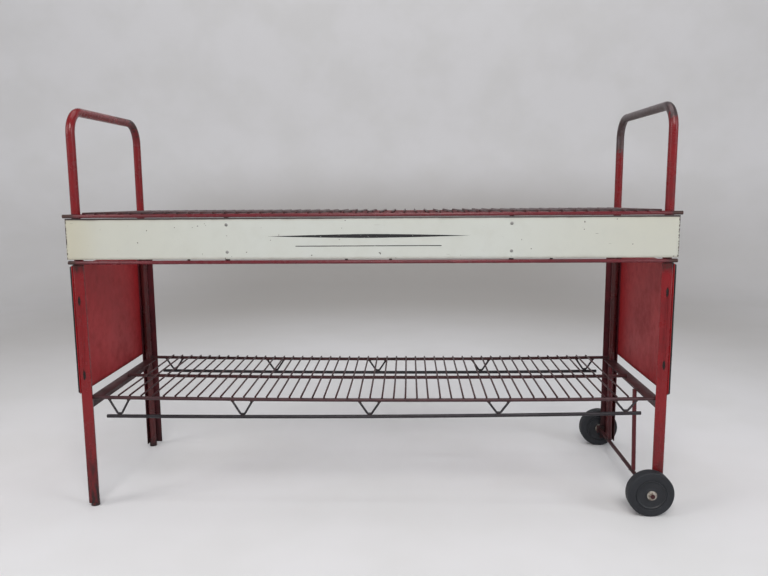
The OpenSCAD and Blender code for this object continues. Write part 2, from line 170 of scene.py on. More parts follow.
class Graph:
    """One procedural material. Each method adds nodes and returns an output socket.
    Positions are in the row frame, in metres, because every mesh keeps its place in its vertices."""

    def __init__(self, name):
        self.material = bpy.data.materials.new(name)
        self.material.use_nodes = True
        self.tree = self.material.node_tree
        self.tree.nodes.clear()
        output = self.add("OutputMaterial")
        self.shader = self.add("BsdfPrincipled")
        self.tree.links.new(self.shader.outputs["BSDF"], output.inputs["Surface"])
        self.place = self.add("TexCoord").outputs["Object"]
        axes = self.add("SeparateXYZ")
        self.feed(axes.inputs[0], self.place)
        self.x, self.y, self.z = axes.outputs

    def add(self, kind):
        return self.tree.nodes.new("ShaderNode" + kind)

    def feed(self, socket, value):
        if isinstance(value, bpy.types.NodeSocket):
            self.tree.links.new(value, socket)
        elif socket.type == "RGBA" and len(value) == 3:
            socket.default_value = (*value, 1.0)
        else:
            socket.default_value = value

    def math(self, operation, *values, clamp=False):
        node = self.add("Math")
        node.operation = operation
        node.use_clamp = clamp
        for socket, value in zip(node.inputs, values):
            self.feed(socket, value)
        return node.outputs[0]

    def total(self, *values):
        result = values[0]
        for value in values[1:]:
            result = self.math("ADD", result, value)
        return result

    def times(self, a, b, clamp=False):
        return self.math("MULTIPLY", a, b, clamp=clamp)

    def ramp(self, value, start, end):
        """0 before start and 1 after end, with a smooth step between; start may be the greater."""
        node = self.add("MapRange")
        node.interpolation_type = "SMOOTHSTEP"
        self.feed(node.inputs["Value"], value)
        self.feed(node.inputs["From Min"], start)
        self.feed(node.inputs["From Max"], end)
        return node.outputs["Result"]

    def blend(self, factor, a, b):
        node = self.add("Mix")
        node.data_type = "RGBA"
        self.feed(node.inputs[0], factor)
        self.feed(node.inputs[6], a)
        self.feed(node.inputs[7], b)
        return node.outputs[2]

    def between(self, factor, a, b):
        node = self.add("Mix")
        self.feed(node.inputs[0], factor)
        self.feed(node.inputs[2], a)
        self.feed(node.inputs[3], b)
        return node.outputs[0]

    def stretched(self, scale):
        node = self.add("VectorMath")
        node.operation = "MULTIPLY"
        self.feed(node.inputs[0], self.place)
        self.feed(node.inputs[1], scale)
        return node.outputs[0]

    def noise(self, scale, detail=3.0, roughness=0.55, vector=None):
        node = self.add("TexNoise")
        self.feed(node.inputs["Vector"], vector or self.place)
        self.feed(node.inputs["Scale"], float(scale))
        self.feed(node.inputs["Detail"], detail)
        self.feed(node.inputs["Roughness"], roughness)
        return node.outputs[0]

    def edges(self, radius):
        """1 along sharp edges, falling to 0 a radius away from them."""
        bevel = self.add("Bevel")
        bevel.samples = 6
        self.feed(bevel.inputs["Radius"], radius)
        dot = self.add("VectorMath")
        dot.operation = "DOT_PRODUCT"
        self.feed(dot.inputs[0], bevel.outputs[0])
        self.feed(dot.inputs[1], self.add("NewGeometry").outputs["Normal"])
        return self.ramp(dot.outputs["Value"], 0.995, 0.90)

    def relief(self, height, depth):
        bump = self.add("Bump")
        self.feed(bump.inputs["Height"], height)
        bump.inputs["Strength"].default_value = 1.0
        bump.inputs["Distance"].default_value = depth
        self.feed(self.shader.inputs["Normal"], bump.outputs["Normal"])

    def shine(self, level):
        self.shader.inputs["Specular IOR Level"].default_value = level

    def done(self, **inputs):
        for name, value in inputs.items():
            self.feed(self.shader.inputs[name.replace("_", " ").title()], value)
        return self.material


def scratches(g, along, across, start, end):
    """Fine lines that run where the pattern is stretched."""
    return g.ramp(g.noise(1.0, 2.0, 0.6, vector=g.stretched((across, along, along))), start, end)


# Linear colours
RED = (0.208, 0.0130, 0.0165)
PANEL_RED = (0.365, 0.0170, 0.0220)
RED_GRIME = (0.070, 0.013, 0.015)
RAIL_RED = (0.147, 0.0190, 0.0265)
RAIL_GRIME = (0.055, 0.012, 0.015)
INNER_RED = (0.110, 0.020, 0.024)
INNER_GRIME = (0.040, 0.014, 0.016)
# Darker red and grime for the rear legs, the rear brace and the axle plates: partly grime, partly painted
# shade.
REAR_GRIMY_SHADED_RED = (0.105, 0.0190, 0.0240)
REAR_SHADED_GRIME = (0.034, 0.013, 0.016)
BROWN = (0.080, 0.026, 0.028)
LOW_BROWN = (0.058, 0.0175, 0.0195)
BROWN_GRIME = (0.026, 0.015, 0.016)
STEEL = (0.090, 0.074, 0.076)
LOW_STEEL = (0.046, 0.028, 0.029)
GRIP_STEEL = (0.140, 0.108, 0.114)
WORN = (0.062, 0.040, 0.040)
DARK = (0.030, 0.026, 0.031)
RUST = (0.09, 0.035, 0.02)
# Dark brown for old dirt, used also for painted shade.
OLD_DIRT_AND_SHADE = (0.020, 0.012, 0.012)
WHEEL_BLACK = (0.0075, 0.0090, 0.0130)


def enamel(name, paint, grime, bare, zone, edge, chips, dirt, gloss,
           bare_metal=0.45, shine=0.27, soil_and_shade=None, bare_rough=0.38):
    """Brushed-on enamel over steel. zone(g) says where hands, papers or the floor have rubbed it,
    0 to 1; edge and chips say how much paint is gone from edges and from open faces; the soil
    function says where old dirt, and painted shade, darken it."""
    g = Graph(name)
    g.shine(shine)
    ragged = g.noise(150, 5.0, 0.68)
    broad = g.noise(9, 3.0)
    patches = g.noise(42, 4.0, 0.6)
    worn_zone = zone(g)
    rub = g.total(worn_zone, g.times(g.edges(1.1 * MM), edge), g.times(ragged, 0.75))
    rubbed = g.ramp(rub, 0.78, 0.86)
    flecks = g.ramp(g.noise(260, 2.0, 0.5), 0.80 - 0.10 * chips, 0.83 - 0.10 * chips)
    gone = g.math("MAXIMUM", rubbed, flecks)

    dulled = g.ramp(g.total(g.times(broad, 0.6), g.times(patches, 0.6), g.times(worn_zone, 0.35)), 0.45, 0.95)
    painted = g.blend(g.times(dulled, dirt), paint, grime)
    streaks = g.noise(1.0, 3.0, vector=g.stretched((180, 180, 14)))
    painted = g.blend(g.times(g.ramp(streaks, 0.5, 0.75), 0.25 * dirt), painted, grime)
    rust = [0.6 * c + 0.4 * k for c, k in zip(bare, RUST)]
    metal = g.blend(g.ramp(patches, 0.4, 0.62), bare, rust)
    pitted = g.times(g.ramp(g.noise(600, 2.0), 0.45, 0.7), 0.5)
    metal = g.blend(pitted, metal, [0.45 * c for c in bare])
    colour = g.blend(gone, painted, metal)
    # Old dirt, and painted shade where the soil function asks for it, darken the colour.
    if soil_and_shade:
        dirty_and_shaded = g.times(soil_and_shade(g), g.total(0.72, g.times(patches, 0.5)), clamp=True)
        colour = g.blend(dirty_and_shaded, colour, OLD_DIRT_AND_SHADE)

    rough_paint = g.total(gloss, g.times(dulled, 0.22), g.times(g.noise(500, 2.0), 0.06))
    rough = g.between(gone, rough_paint, g.total(bare_rough, g.times(ragged, 0.2)))
    height = g.total(
        g.times(g.noise(320, 2.0), 0.10),
        g.times(g.noise(60, 1.0), 0.25),
        g.times(gone, -0.35),
        g.times(g.times(gone, ragged), 0.25),
    )
    g.relief(height, 0.28 * MM)
    return g.done(base_color=colour, roughness=rough, metallic=g.times(gone, bare_metal))


def grip_wear(tilt, start, fade, depth):
    """Hand wear on a hoop: rubbed ever barer above a sloping line, ragged, and scuffed over the legs."""
    noise_lift = 0.032  # what the two noises add to the line on average
    scuff_low, scuff_top = LEG_TOP + 0.02, LEG_TOP + 0.17
    foot_top = 0.07

    def zone(g):
        coarse = g.times(g.noise(22, 4.0, 0.65), 0.05)
        fine = g.times(g.noise(90, 3.0), 0.015)
        line = g.total(g.z, g.times(g.y, tilt), coarse, fine)
        first = start + noise_lift
        top = g.times(g.ramp(line, first, first + fade), depth)
        top = g.times(top, g.total(0.80, g.times(g.noise(48, 4.0, 0.7), 0.4)))
        base = g.times(g.ramp(g.z, scuff_top, scuff_low), g.ramp(g.noise(30, 3.0), 0.45, 0.65))
        foot = g.ramp(g.z, foot_top, 0.0)
        return g.math("MAXIMUM", top, g.times(g.math("MAXIMUM", foot, g.times(base, 0.6)), 0.5))
    return zone


def tube_dirt_and_shade(g):
    """Darkens the tubes inside the leg angles, most of all at the back: old dirt, and painted shade in the
    angles' corners.
    """
    inside = g.ramp(g.z, LEG_TOP + 0.005, LEG_TOP - 0.03)
    return g.times(inside, g.total(0.25, g.times(g.ramp(g.y, -0.05, 0.05), 0.45)))


def leg_dirt_and_shade(g):
    """Dust and scuffs darken the legs towards the floor, painted shade darkens them just under the sign,
    and the paint round the plug welds is burnt."""
    streaks = g.ramp(g.noise(1.0, 4.0, 0.65, vector=g.stretched((95, 95, 16))), 0.35, 0.70)
    low = g.times(g.ramp(g.z, 0.25, 0.0), g.total(0.34, g.times(streaks, 0.85)))
    # Painted shade: the top of each leg, just under the sign and its rod.
    top = g.times(g.ramp(g.z, LEG_TOP - 0.024, LEG_TOP - 0.008), g.total(0.35, g.times(streaks, 0.5)))
    soiled_and_shaded = g.math("MAXIMUM", low, top)
    burn_across, burn_along = 2.9 * MM, 10 * MM
    for end, heights in PLUG_WELD_Z.items():
        across = g.math("DIVIDE", g.math("SUBTRACT", g.x, HOOP_X[end]), burn_across)
        for height in heights:
            along = g.math("DIVIDE", g.math("SUBTRACT", g.z, height), burn_along)
            away = g.math("SQRT", g.total(g.times(across, across), g.times(along, along)))
            ragged = g.total(away, g.times(g.noise(230, 3.0, 0.6), 0.9))
            soiled_and_shaded = g.math("MAXIMUM", soiled_and_shaded, g.ramp(ragged, 1.65, 1.3))
    return soiled_and_shaded


def leg_wear(g):
    """Kicked near the floor, and scuffed at the top ends of the angles."""
    low = g.times(g.ramp(g.z, 0.26, 0.0), 0.36)
    top = g.times(g.ramp(g.z, LEG_TOP - 0.035, LEG_TOP), 0.42)
    upright = g.ramp(g.noise(1.0, 3.0, 0.6, vector=g.stretched((420, 420, 38))), 0.55, 0.72)
    return g.total(low, top, g.times(upright, 0.26))


def rod_wear(g):
    """The long outer rods have lost their enamel at the two ends, where the rack is gripped."""
    half = size("front_top_rod").x / 2
    from_middle = g.math("ABSOLUTE", g.math("SUBTRACT", g.x, RACK_X))
    return g.times(g.ramp(from_middle, half - 0.055, half - 0.006), 0.6)


def shelf_wear(g):
    return g.times(g.ramp(g.noise(12, 3.0), 0.35, 0.7), 0.30)


def panel_enamel():
    """Large flat sheets: smooth gloss with a soft upright grain, worn at the rims and the lower edge."""
    low = corners("left_side_panel")[0].z

    def zone(g):
        return g.times(g.ramp(g.z, low + 0.012, low), 0.42)
    return enamel("panel_red", PANEL_RED, RED_GRIME, STEEL, zone,
                  edge=0.6, chips=0.2, dirt=0.5, gloss=0.34, shine=0.22)


def bare_steel(name, colour, rough, metallic, mottle=0.5):
    g = Graph(name)
    g.shine(0.4)
    patches = g.noise(70, 5.0, 0.65)
    fine = g.noise(700, 2.0)
    shade = g.blend(g.times(g.ramp(patches, 0.35, 0.7), mottle), colour, [0.4 * c for c in colour])
    shade = g.blend(g.times(g.edges(0.6 * MM), 0.5), shade, [min(1.0, 1.9 * c) for c in colour])
    g.relief(g.total(g.times(fine, 0.3), g.times(patches, 0.5)), 0.15 * MM)
    return g.done(base_color=shade, roughness=g.total(rough, g.times(patches, 0.25)), metallic=metallic)


def cream_enamel():
    """Aged cream enamel on the sign: yellowed towards the ends, chipped along its short edges, with a
    plain tapered rule across the middle in place of any lettering."""
    low, high = corners("sign_panel")
    centre_z = (low.z + high.z) / 2
    half_w = (high.x - low.x) / 2
    g = Graph("sign_cream")
    broad = g.noise(5, 3.0)
    cloudy = g.noise(30, 4.0, 0.6)
    from_middle = g.math("ABSOLUTE", g.math("SUBTRACT", g.x, RACK_X))
    aged = g.total(g.times(g.ramp(from_middle, 0.35 * half_w, half_w), 0.5), g.times(broad, 0.5))
    cream = g.blend(aged, (0.560, 0.588, 0.566), (0.517, 0.514, 0.436))
    cream = g.blend(g.times(g.ramp(cloudy, 0.42, 0.75), 0.35), cream, (0.486, 0.497, 0.455))
    left_end = g.ramp(g.x, low.x + 0.09, low.x)
    cream = g.blend(g.times(left_end, 0.45), cream, (0.47, 0.43, 0.30))
    low_rail = g.ramp(g.z, low.z + 0.006, low.z)
    high_rail = g.ramp(g.z, high.z - 0.009, high.z - 0.003)
    rail_dirt = g.math("MAXIMUM", low_rail, high_rail)
    cream = g.blend(g.times(g.times(rail_dirt, cloudy), 0.7), cream, (0.30, 0.24, 0.19))
    # Painted shade: a dark band along the top of the sign, just under the top rod.
    painted_shade_under_rod = g.ramp(g.total(g.z, g.times(cloudy, 0.0012)), high.z - 0.0036, high.z - 0.0026)

    away = g.math("SUBTRACT", g.z, centre_z + 0.004)
    half_rule, half_thin_rule = 0.215, 0.155
    reach = g.math("MINIMUM", g.math("DIVIDE", from_middle, half_rule), 1.0)
    swell = g.times(g.math("SUBTRACT", 1.0, g.math("POWER", reach, 1.5)), 4.2 * MM)
    long_rule = g.math("LESS_THAN", g.math("ABSOLUTE", away), swell)
    lower = g.math("ABSOLUTE", g.math("ADD", away, 0.021))
    within = g.math("LESS_THAN", from_middle, half_thin_rule)
    thin_rule = g.times(g.math("LESS_THAN", lower, 0.9 * MM), within)
    rule = g.times(g.math("MAXIMUM", long_rule, thin_rule), g.ramp(g.noise(420, 3.0), 0.72, 0.66))
    facing = g.add("SeparateXYZ")
    g.feed(facing.inputs[0], g.add("NewGeometry").outputs["True Normal"])
    rule = g.times(rule, g.math("LESS_THAN", facing.outputs[1], -0.5))
    colour = g.blend(rule, cream, (0.012, 0.012, 0.014))

    ragged = g.noise(240, 4.0, 0.65)
    ends = g.ramp(from_middle, half_w - 0.008, half_w - 0.001)
    edge = g.math("MAXIMUM", g.times(ends, 0.50), g.times(g.edges(0.9 * MM), 0.26))
    chipped = g.ramp(g.total(edge, g.times(ragged, 0.8)), 0.86, 0.90)
    flecks = g.ramp(g.noise(150, 1.0, 0.4), 0.785, 0.80)
    scored = g.ramp(g.x, RACK_X + 0.25, RACK_X + 0.45)
    hair = g.times(scratches(g, 240, 26, 0.70, 0.735), g.ramp(g.noise(7, 2.0), 0.44, 0.56))
    hair = g.times(hair, g.total(0.35, g.times(scored, 0.6)))
    gone = g.math("MAXIMUM", g.math("MAXIMUM", chipped, flecks), hair)
    colour = g.blend(gone, colour, (0.045, 0.032, 0.028))
    # The painted shade under the top rod goes on last.
    colour = g.blend(painted_shade_under_rod, colour, (0.022, 0.012, 0.013))
    rough = g.total(0.34, g.times(cloudy, 0.18), g.times(gone, 0.2))
    height = g.total(g.times(g.noise(90, 2.0), 0.35), g.times(g.noise(14, 1.0), 1.2), g.times(gone, -0.4))
    g.relief(height, 0.25 * MM)
    return g.done(base_color=colour, roughness=rough)


def rubber():
    g = Graph("tyre_rubber")
    dust = g.noise(28, 4.0, 0.6)
    fine = g.noise(900, 2.0)
    across = g.math("POWER", g.math("SUBTRACT", g.x, AXLE.x), 2.0)
    upward = g.math("POWER", g.math("SUBTRACT", g.z, AXLE.z), 2.0)
    from_axle = g.math("SQRT", g.total(across, upward))
    from_tread = g.math("ABSOLUTE", g.math("SUBTRACT", from_axle, WHEEL_R))
    tread = g.ramp(from_tread, 5 * MM, 0.5 * MM)
    dusty = g.math("ADD", g.times(g.ramp(dust, 0.4, 0.75), 0.35), g.times(tread, 0.25), clamp=True)
    colour = g.blend(dusty, WHEEL_BLACK, (0.028, 0.031, 0.038))
    g.relief(g.total(g.times(fine, 0.25), g.times(g.noise(110, 3.0), 0.4)), 0.2 * MM)
    return g.done(base_color=colour, roughness=g.total(0.52, g.times(dust, 0.25)))


def moulded_plastic():
    g = Graph("wheel_plastic")
    dust = g.noise(36, 4.0, 0.6)
    colour = g.blend(g.times(g.ramp(dust, 0.4, 0.75), 0.4), WHEEL_BLACK, (0.026, 0.029, 0.035))
    g.relief(g.total(g.times(g.noise(800, 2.0), 0.3), g.times(g.noise(60, 2.0), 0.3)), 0.12 * MM)
    return g.done(base_color=colour, roughness=g.total(0.36, g.times(dust, 0.3)))


def zinc():
    g = Graph("zinc_plate")
    patches = g.noise(160, 4.0, 0.6)
    colour = g.blend(g.ramp(patches, 0.4, 0.65), (0.52, 0.49, 0.44), (0.22, 0.17, 0.13))
    colour = g.blend(g.times(g.edges(0.4 * MM), 0.5), colour, (0.08, 0.06, 0.05))
    g.relief(g.times(g.noise(900, 2.0), 0.4), 0.08 * MM)
    return g.done(base_color=colour, roughness=g.total(0.3, g.times(patches, 0.3)), metallic=0.85)


# ---------------------------------------------------------------- mesh helpers

def new_piece(name, bm, material, body="frame"):
    """Turns a bmesh into a named piece that rides on a body."""
    mesh = bpy.data.meshes.new(name)
    bmesh.ops.recalc_face_normals(bm, faces=bm.faces)
    bm.to_mesh(mesh)
    bm.free()
    mesh.shade_smooth()
    piece = bpy.data.objects.new(name, mesh)
    bpy.context.scene.collection.objects.link(piece)
    piece.data.materials.append(material)
    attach(piece, body)
    return piece


def ring_of(bm, centre, u, v, radius, sides):
    return [
        bm.verts.new(centre + (u * math.cos(a) + v * math.sin(a)) * radius)
        for a in (2 * math.pi * k / sides for k in range(sides))
    ]


def bridge(bm, one, two):
    count = len(one)
    for k in range(count):
        bm.faces.new((one[k], one[(k + 1) % count], two[(k + 1) % count], two[k]))


def sweep(bm, points, radius, sides=12, end_round=0.35):
    """A round bar along points, with its two ends eased over."""
    points = [Vector(p) for p in points]
    tangents = []
    for k in range(len(points)):
        before, after = points[max(k - 1, 0)], points[min(k + 1, len(points) - 1)]
        tangents.append((after - before).normalized())
    start = Vector((0, 0, 1)) if abs(tangents[0].z) < 0.9 else Vector((1, 0, 0))
    u = tangents[0].cross(start).normalized()
    ease = end_round * radius
    rows = []
    for k, (point, tangent) in enumerate(zip(points, tangents)):
        u = (u - tangent * u.dot(tangent)).normalized()
        v = tangent.cross(u)
        if k == 0:
            rows.append(ring_of(bm, point, u, v, radius - ease, sides))
            rows.append(ring_of(bm, point + tangent * ease, u, v, radius, sides))
        elif k == len(points) - 1:
            rows.append(ring_of(bm, point - tangent * ease, u, v, radius, sides))
            rows.append(ring_of(bm, point, u, v, radius - ease, sides))
        else:
            rows.append(ring_of(bm, point, u, v, radius, sides))
    for one, two in zip(rows, rows[1:]):
        bridge(bm, one, two)
    bm.faces.new(rows[0])
    bm.faces.new(rows[-1])


def arc_points(before, corner, after, bend):
    """Points that round off a corner between two straight runs."""
    steps = 6
    into = (Vector(before) - Vector(corner)).normalized() * bend
    out = (Vector(after) - Vector(corner)).normalized() * bend
    start, end = Vector(corner) + into, Vector(corner) + out
    found = []
    for k in range(steps + 1):
        t = k / steps
        found.append(start * (1 - t) ** 2 + Vector(corner) * 2 * t * (1 - t) + end * t * t)
    return found


def ball_mesh(subdivisions):
    bm = bmesh.new()
    bmesh.ops.create_icosphere(bm, subdivisions=subdivisions, radius=1.0)
    bm.verts.index_update()
    found = [v.co.copy() for v in bm.verts], [[v.index for v in f.verts] for f in bm.faces]
    bm.free()
    return found


BALLS = {1: ball_mesh(1), 2: ball_mesh(2)}


def blob(bm, centre, scale, seed, subdivisions=2):
    """A lump of weld metal: a small ball, flattened and knobbly."""
    points, faces = BALLS[subdivisions]
    shift = Vector((seed * 3.7, seed * 1.3, seed * 2.1))
    verts = []
    for point in points:
        swollen = 1 + 0.28 * noise.noise(point * 1.6 + shift)
        at = Vector([c * s * swollen for c, s in zip(point, scale)])
        verts.append(bm.verts.new(Vector(centre) + at))
    for face in faces:
        bm.faces.new([verts[k] for k in face])


def lathe(bm, profile, centre, side, steps=96):
    """Turns (radius, distance out from the middle plane) points about the axle; the profile is closed."""
    rows = []
    for k in range(steps):
        a = 2 * math.pi * k / steps
        rows.append([
            bm.verts.new((centre.x + r * math.cos(a), side * out, centre.z + r * math.sin(a)))
            for r, out in profile
        ])
    for k in range(steps):
        bridge(bm, rows[k], rows[(k + 1) % steps])


# ---------------------------------------------------------------- CAD nodes: eased edges, materials

def ease_edges(node, width):
    """Rounds the sharp edges of a CAD node with modifiers, which leave its mesh as it is."""
    piece = nodes[node]
    weld = piece.modifiers.new("weld", "WELD")
    weld.merge_threshold = 0.005 * MM
    bevel = piece.modifiers.new("eased", "BEVEL")
    bevel.width = width
    bevel.segments = 2
    bevel.limit_method = "ANGLE"
    bevel.angle_limit = math.radians(40)
    bevel.harden_normals = True


def paint(material, *names):
    for name in names:
        for slot in nodes[name].material_slots:
            slot.material = material


def make_stage():
    """A round pale studio floor that sweeps up into a wall all the way round."""
    bm = bmesh.new()
    wall_r, sweep_r, wall_h, steps = 5.0, 1.6, 4.6, 96
    section = [(0.01, 0.0), (1.0, 0.0), (2.2, 0.0)]
    for k in range(13):
        a = math.pi / 2 * k / 12
        section.append((wall_r - sweep_r + sweep_r * math.sin(a), sweep_r - sweep_r * math.cos(a)))
    section.append((wall_r, wall_h))
    rows = []
    for k in range(steps):
        a = 2 * math.pi * k / steps
        rows.append([bm.verts.new((r * math.cos(a), r * math.sin(a), z)) for r, z in section])
    for k in range(steps):
        one, two = rows[k], rows[(k + 1) % steps]
        for j in range(len(section) - 1):
            bm.faces.new((one[j], one[j + 1], two[j + 1], two[j]))
    bm.faces.new([row[0] for row in rows])
    bmesh.ops.recalc_face_normals(bm, faces=bm.faces)
    mesh = bpy.data.meshes.new("studio")
    bm.to_mesh(mesh)
    bm.free()
    mesh.shade_smooth()
    studio = bpy.data.objects.new("studio", mesh)
    bpy.context.scene.collection.objects.link(studio)
    g = Graph("studio_cloth")
    near = g.blend(g.ramp(g.noise(2.2, 3.0), 0.35, 0.7), (0.80, 0.80, 0.82), (0.76, 0.76, 0.77))
    reach = g.math("SQRT", g.total(g.times(g.x, g.x), g.times(g.y, g.y)))
    # Painted shade: the floor further out and the foot of the wall are drawn darker, and less so off to the
    # sides.
    far_painted_shade = g.times(g.ramp(reach, 0.9, 2.8), g.ramp(g.z, 1.0, 0.3))
    aside_with_less_shade = g.ramp(g.math("ABSOLUTE", g.x), 0.8, 2.8)
    far_painted_shade = g.times(far_painted_shade, g.total(1.0, g.times(aside_with_less_shade, -0.7)))
    colour = g.blend(far_painted_shade, near, (0.45, 0.435, 0.42))
    mesh.materials.append(g.done(base_color=colour, roughness=0.9))


make_camera()
make_lights()
make_stage()

red = enamel("rack_red", RED, RED_GRIME, WORN, leg_wear,
             edge=0.45, chips=0.55, dirt=0.55, gloss=0.20, soil_and_shade=leg_dirt_and_shade)
red_left_hoop = enamel("left_hoop_red", RED, RED_GRIME, WORN, grip_wear(0.25, 0.835, 0.09, 0.50),
                       edge=0.4, chips=0.3, dirt=0.5, gloss=0.14, shine=0.38, soil_and_shade=tube_dirt_and_shade)
red_right_hoop = enamel("right_hoop_red", RED, RED_GRIME, GRIP_STEEL, grip_wear(0.165, 0.768, 0.09, 0.66),
                        edge=0.4, chips=0.4, dirt=0.6, gloss=0.18, bare_metal=0.75, shine=0.38,
                        soil_and_shade=tube_dirt_and_shade, bare_rough=0.24)
# The rear legs' darker red: partly grime, partly painted shade.
red_rear_legs_grimy_shaded = enamel("rear_leg_red_grimy_shaded", REAR_GRIMY_SHADED_RED, REAR_SHADED_GRIME, DARK, leg_wear,
                       edge=0.3, chips=0.3, dirt=0.8, gloss=0.34, shine=0.2, soil_and_shade=leg_dirt_and_shade)
panel_red = panel_enamel()
brown = enamel("shelf_brown", BROWN, BROWN_GRIME, STEEL, shelf_wear,
               edge=0.35, chips=0.8, dirt=0.8, gloss=0.30, bare_metal=0.4)
low_brown = enamel("low_shelf_brown", LOW_BROWN, BROWN_GRIME, LOW_STEEL, shelf_wear,
                   edge=0.35, chips=0.8, dirt=0.8, gloss=0.34, bare_metal=0.3, shine=0.18)
rail_red = enamel("rail_red", RAIL_RED, RAIL_GRIME, WORN, rod_wear,
                  edge=0.35, chips=0.5, dirt=0.7, gloss=0.20, shine=0.4)
inner_red = enamel("inner_red", INNER_RED, INNER_GRIME, WORN, shelf_wear,
                   edge=0.4, chips=0.6, dirt=0.7, gloss=0.28)
edge_black = bare_steel("edge_black", (0.010, 0.009, 0.010), 0.35, 0.1)
rivet_zinc = bare_steel("rivet_zinc", (0.27, 0.27, 0.26), 0.42, 0.5, 0.6)
weld_steel = bare_steel("weld_steel", (0.050, 0.030, 0.030), 0.45, 0.2, 0.7)
dark_steel = bare_steel("dark_steel", DARK, 0.30, 0.35)
rubbed_rod = bare_steel("rubbed_rod", (0.068, 0.031, 0.035), 0.30, 0.3)
slag = bare_steel("slag", (0.010, 0.008, 0.008), 0.5, 0.1)
cream = cream_enamel()
tyre = rubber()
plastic = moulded_plastic()
plated = zinc()

paint(red, "left_front_leg_angle", "right_front_leg_angle")
# The rear legs, rear brace and axle plates take the darker red with painted shade.
paint(red_rear_legs_grimy_shaded, "left_rear_leg_angle", "right_rear_leg_angle", "rear_brace")
paint(red_rear_legs_grimy_shaded, "front_axle_plate", "rear_axle_plate")
paint(edge_black, "left_sign_strap", "right_sign_strap")
paint(red_left_hoop, "left_end_hoop")
paint(red_right_hoop, "right_end_hoop")
paint(rail_red, "front_top_rod", "rear_top_rod", "sign_bottom_rod", "rear_bottom_rod")
paint(inner_red, "left_top_rail", "right_top_rail", "middle_top_rod", "front_brace")
paint(low_brown, "left_cross_member", "right_cross_member", "middle_shelf_rod", "rear_shelf_rod", "axle")
paint(rubbed_rod, "front_shelf_rod")
paint(dark_steel, "front_truss_rod", "rear_truss_rod")
paint(slag, "leg_plug_welds", "sign_tabs")
paint(rivet_zinc, "sign_rivets")
paint(plated, "front_wheel_bush", "rear_wheel_bush", "inner_washers", "outer_washers")

for end in ("left", "right"):
    for side in SIDES:
        ease_edges(f"{end}_{side}_leg_angle", 0.4 * MM)
    ease_edges(f"{end}_cross_member", 0.5 * MM)
    ease_edges(f"{end}_sign_strap", 0.4 * MM)
for side in SIDES:
    ease_edges(f"{side}_axle_plate", 0.5 * MM)
for long_rod in ("front_top_rod", "rear_top_rod", "sign_bottom_rod", "rear_bottom_rod",
                 "front_truss_rod", "rear_truss_rod", "axle"):
    ease_edges(long_rod, 0.8 * MM)
for washers in ("inner_washers", "outer_washers"):
    ease_edges(washers, 0.3 * MM)


# ---------------------------------------------------------------- shelf wires and their spot welds

def shelf_wires(name, count, pitch, half_len, height, material, seed):
    """Wires cut and laid by hand: each bows and strays a little, and its ends are eased."""
    rng = random.Random(seed)
    bm = bmesh.new()
    for k in range(count):
        x = (k - (count - 1) / 2) * pitch
        stray = rng.uniform(-0.7, 0.7) * MM
        bend = rng.uniform(-0.9, 0.9) * MM
        reach = half_len + rng.uniform(-1.2, 0.0) * MM
        points = []
        for step in range(7):
            t = step / 3 - 1
            y = t * reach
            points.append((RACK_X + x + stray + bend * (1 - t * t), y, height(x, y)))
        sweep(bm, points, WIRE_R, 12)
    piece = new_piece(name + "_drawn", bm, material)
    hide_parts(name)


def spot_welds(name, count, pitch, rod_ys, height, seed):
    """A small spread nugget where each wire crosses a rod."""
    rng = random.Random(seed)
    bm = bmesh.new()
    for k in range(count):
        x = (k - (count - 1) / 2) * pitch
        for y in rod_ys:
            at = (RACK_X + x + rng.uniform(-0.3, 0.3) * MM, y, height(x, y) - WIRE_R - 0.1 * MM)
            wide = rng.uniform(2.4, 3.1) * MM
            blob(bm, at, (wide, wide * 1.1, 1.2 * MM), rng.random() * 9, subdivisions=1)
    new_piece(name, bm, weld_steel)


def on_low_rods(x, y):
    return shelf_z(x) + ROD_R + WIRE_R + 0.05 * MM


def on_top_rods(x, y):
    return top_z(y) + ROD_R + WIRE_R + 0.05 * MM


top_half = size("top_shelf_wires").y / 2
low_half = size("lower_shelf_wires").y / 2
shelf_wires("top_shelf_wires", TOP_WIRES, TOP_PITCH, top_half, on_top_rods, brown, 11)
shelf_wires("lower_shelf_wires", LOW_WIRES, LOW_PITCH, low_half, on_low_rods, low_brown, 23)
top_rod_ys = [middle(rod).y for rod in ("front_top_rod", "middle_top_rod", "rear_top_rod")]
low_rod_ys = [middle(rod).y for rod in ("front_shelf_rod", "middle_shelf_rod", "rear_shelf_rod")]
spot_welds("top_spot_welds", TOP_WIRES, TOP_PITCH, top_rod_ys, on_top_rods, 31)
spot_welds("lower_spot_welds", LOW_WIRES, LOW_PITCH, low_rod_ys, on_low_rods, 37)


# ---------------------------------------------------------------- trusses

